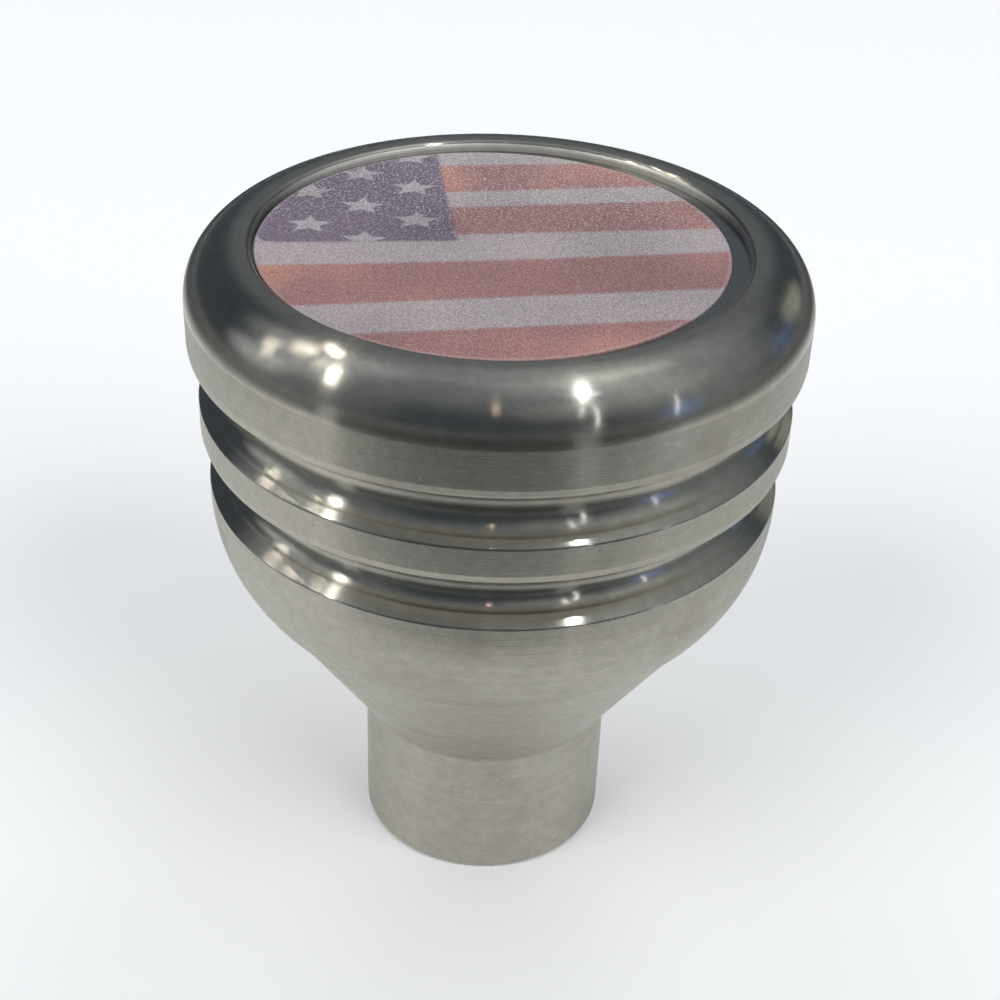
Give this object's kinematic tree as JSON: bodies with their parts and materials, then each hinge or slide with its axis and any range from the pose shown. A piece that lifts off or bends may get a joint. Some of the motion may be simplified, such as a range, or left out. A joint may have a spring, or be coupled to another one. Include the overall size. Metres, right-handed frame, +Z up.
{
  "type": "gear shift knob",
  "caption": "Turned metal gear shift knob with a broad grooved head, a bowl and cone below it, a short neck and a round printed label in its top.",
  "frame": {"origin": "centre of the neck's flat end, at the mouth of the lever hole", "axes": "+Z up the turning axis to the label, -Y towards the driver, +X to the right of the label"},
  "size_m": [0.0508, 0.0508, 0.0587],
  "materials": {
    "turned_aluminium": "turned and polished, satin on the straight faces and bright in the grooves",
    "printed_label": "printed film under a clear satin laminate with a fine grain"
  },
  "bodies": {
    "root": {"knob_body": "turned_aluminium", "flag_label": "printed_label"}
  },
  "joints": []
}
